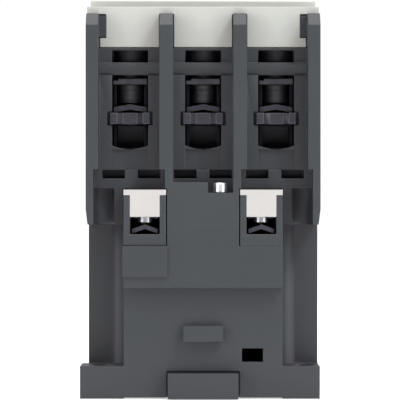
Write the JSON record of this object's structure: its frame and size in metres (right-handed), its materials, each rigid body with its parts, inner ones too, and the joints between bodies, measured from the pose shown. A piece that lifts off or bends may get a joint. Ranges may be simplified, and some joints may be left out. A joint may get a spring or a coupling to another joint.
{
  "type": "contactor",
  "caption": "Three-pole magnetic contactor: ribbed dark housing, off-white front cover, screw clamp terminals at both ends and coil terminals at one.",
  "frame": {"origin": "centre of the four mounting holes, on the mounting plane", "axes": "+Z out of the mounting plane to the front cover, +Y from the coil-terminal end to the far end, +X across the width"},
  "size_m": [0.045, 0.086, 0.0765],
  "materials": {
    "dark_plastic": "fine moulded texture",
    "light_plastic": "satin",
    "white_plastic": "satin",
    "carrier_plastic": "satin",
    "zinc_steel": "bright zinc plate",
    "dark_steel": "dark passivated zinc",
    "core_steel": "stacked laminations, ground pole faces",
    "plain_steel": "plain",
    "spring_steel": "drawn wire",
    "plated_copper": "dull tin plate",
    "copper": "plain",
    "copper_wire": "enamelled",
    "brass": "plain",
    "silver": "satin",
    "rubber": "matte"
  },
  "bodies": {
    "frame": {"base_housing": "dark_plastic", "pole_housing": "dark_plastic", "front_cover": "light_plastic", "housing_screws": "zinc_steel", "core_cushion": "rubber", "fixed_core": "core_steel", "shading_rings": "copper", "coil_bobbin": "white_plastic", "coil_winding": "copper_wire", "coil_terminal_frames": "dark_plastic", "coil_terminal_plates": "brass", "line_contacts": "plated_copper", "load_contacts": "plated_copper", "fixed_contact_tips": "silver", "arc_plates": "plain_steel", "return_springs": "spring_steel", "rail_clip_spring": "spring_steel", "clamp_saddles": "dark_steel"},
    "carrier": {"contact_carrier": "carrier_plastic", "armature": "core_steel", "armature_pin": "zinc_steel", "contact_spring_1": "spring_steel", "contact_spring_2": "spring_steel", "contact_spring_3": "spring_steel"},
    "rail_clip": {"rail_clip": "dark_plastic"},
    "bridge_1": {"moving_contact_1": "copper"},
    "bridge_2": {"moving_contact_2": "copper"},
    "bridge_3": {"moving_contact_3": "copper"},
    "clamp_screw_1": {"clamp_screw_1": "dark_steel"},
    "clamp_cage_1": {"clamp_cage_1": "dark_steel"},
    "clamp_screw_2": {"clamp_screw_2": "dark_steel"},
    "clamp_cage_2": {"clamp_cage_2": "dark_steel"},
    "clamp_screw_3": {"clamp_screw_3": "dark_steel"},
    "clamp_cage_3": {"clamp_cage_3": "dark_steel"},
    "clamp_screw_4": {"clamp_screw_4": "dark_steel"},
    "clamp_cage_4": {"clamp_cage_4": "dark_steel"},
    "clamp_screw_5": {"clamp_screw_5": "dark_steel"},
    "clamp_cage_5": {"clamp_cage_5": "dark_steel"},
    "clamp_screw_6": {"clamp_screw_6": "dark_steel"},
    "clamp_cage_6": {"clamp_cage_6": "dark_steel"},
    "coil_saddle_left": {"coil_saddle_left": "dark_steel"},
    "coil_screw_left": {"coil_screw_left": "zinc_steel"},
    "coil_saddle_right": {"coil_saddle_right": "dark_steel"},
    "coil_screw_right": {"coil_screw_right": "zinc_steel"}
  },
  "joints": [
    {"name": "carrier_slide", "type": "slide", "parent": "frame", "child": "carrier", "axis": [0, 0, -1], "range_m": [0, 0.0045], "stiffness_N_per_m": 800, "springref_m": -0.004, "deforming": ["return_springs"]},
    {"name": "bridge_1_slide", "type": "slide", "parent": "carrier", "child": "bridge_1", "axis": [0, 0, 1], "range_m": [0, 0.0011], "deforming": ["contact_spring_1"]},
    {"name": "bridge_2_slide", "type": "slide", "parent": "carrier", "child": "bridge_2", "axis": [0, 0, 1], "range_m": [0, 0.0011], "deforming": ["contact_spring_2"]},
    {"name": "bridge_3_slide", "type": "slide", "parent": "carrier", "child": "bridge_3", "axis": [0, 0, 1], "range_m": [0, 0.0011], "deforming": ["contact_spring_3"]},
    {"name": "rail_clip_slide", "type": "slide", "parent": "frame", "child": "rail_clip", "axis": [0, -1, 0], "range_m": [0, 0.003], "stiffness_N_per_m": 500, "springref_m": -0.002, "deforming": ["rail_clip_spring"]},
    {"name": "clamp_screw_1_turn", "type": "hinge", "parent": "frame", "child": "clamp_screw_1", "pos_m": [-0.0138, -0.0324, 0.0607], "axis": [0, 0, -1], "range_deg": [0, 1350]},
    {"name": "clamp_cage_1_lift", "type": "slide", "parent": "frame", "child": "clamp_cage_1", "axis": [0, 0, 1], "range_m": [0, 0.003]},
    {"name": "clamp_screw_2_turn", "type": "hinge", "parent": "frame", "child": "clamp_screw_2", "pos_m": [0, -0.0324, 0.0607], "axis": [0, 0, -1], "range_deg": [0, 1350]},
    {"name": "clamp_cage_2_lift", "type": "slide", "parent": "frame", "child": "clamp_cage_2", "axis": [0, 0, 1], "range_m": [0, 0.003]},
    {"name": "clamp_screw_3_turn", "type": "hinge", "parent": "frame", "child": "clamp_screw_3", "pos_m": [0.0138, -0.0324, 0.0607], "axis": [0, 0, -1], "range_deg": [0, 1350]},
    {"name": "clamp_cage_3_lift", "type": "slide", "parent": "frame", "child": "clamp_cage_3", "axis": [0, 0, 1], "range_m": [0, 0.003]},
    {"name": "clamp_screw_4_turn", "type": "hinge", "parent": "frame", "child": "clamp_screw_4", "pos_m": [-0.0138, 0.0324, 0.0607], "axis": [0, 0, -1], "range_deg": [0, 1350]},
    {"name": "clamp_cage_4_lift", "type": "slide", "parent": "frame", "child": "clamp_cage_4", "axis": [0, 0, 1], "range_m": [0, 0.003]},
    {"name": "clamp_screw_5_turn", "type": "hinge", "parent": "frame", "child": "clamp_screw_5", "pos_m": [0, 0.0324, 0.0607], "axis": [0, 0, -1], "range_deg": [0, 1350]},
    {"name": "clamp_cage_5_lift", "type": "slide", "parent": "frame", "child": "clamp_cage_5", "axis": [0, 0, 1], "range_m": [0, 0.003]},
    {"name": "clamp_screw_6_turn", "type": "hinge", "parent": "frame", "child": "clamp_screw_6", "pos_m": [0.0138, 0.0324, 0.0607], "axis": [0, 0, -1], "range_deg": [0, 1350]},
    {"name": "clamp_cage_6_lift", "type": "slide", "parent": "frame", "child": "clamp_cage_6", "axis": [0, 0, 1], "range_m": [0, 0.003]},
    {"name": "coil_saddle_left_lift", "type": "slide", "parent": "frame", "child": "coil_saddle_left", "axis": [0, 0, 1], "range_m": [0, 0.0012]},
    {"name": "coil_screw_left_turn", "type": "hinge", "parent": "coil_saddle_left", "child": "coil_screw_left", "pos_m": [-0.01088, -0.0396, 0.036], "axis": [0, 0, 1], "range_deg": [0, 864]},
    {"name": "coil_saddle_right_lift", "type": "slide", "parent": "frame", "child": "coil_saddle_right", "axis": [0, 0, 1], "range_m": [0, 0.0012]},
    {"name": "coil_screw_right_turn", "type": "hinge", "parent": "coil_saddle_right", "child": "coil_screw_right", "pos_m": [0.01088, -0.0396, 0.036], "axis": [0, 0, 1], "range_deg": [0, 864]}
  ],
  "couplings": [
    {"joint": "bridge_1_slide", "follows": "carrier_slide", "ratio": 0.24444},
    {"joint": "bridge_2_slide", "follows": "carrier_slide", "ratio": 0.24444},
    {"joint": "bridge_3_slide", "follows": "carrier_slide", "ratio": 0.24444},
    {"joint": "clamp_screw_1_turn", "follows": "clamp_cage_1_lift", "rad_per_m": 7853.9},
    {"joint": "clamp_screw_2_turn", "follows": "clamp_cage_2_lift", "rad_per_m": 7853.9},
    {"joint": "clamp_screw_3_turn", "follows": "clamp_cage_3_lift", "rad_per_m": 7853.9},
    {"joint": "clamp_screw_4_turn", "follows": "clamp_cage_4_lift", "rad_per_m": 7853.9},
    {"joint": "clamp_screw_5_turn", "follows": "clamp_cage_5_lift", "rad_per_m": 7853.9},
    {"joint": "clamp_screw_6_turn", "follows": "clamp_cage_6_lift", "rad_per_m": 7853.9},
    {"joint": "coil_screw_left_turn", "follows": "coil_saddle_left_lift", "rad_per_m": 12566},
    {"joint": "coil_screw_right_turn", "follows": "coil_saddle_right_lift", "rad_per_m": 12566}
  ]
}
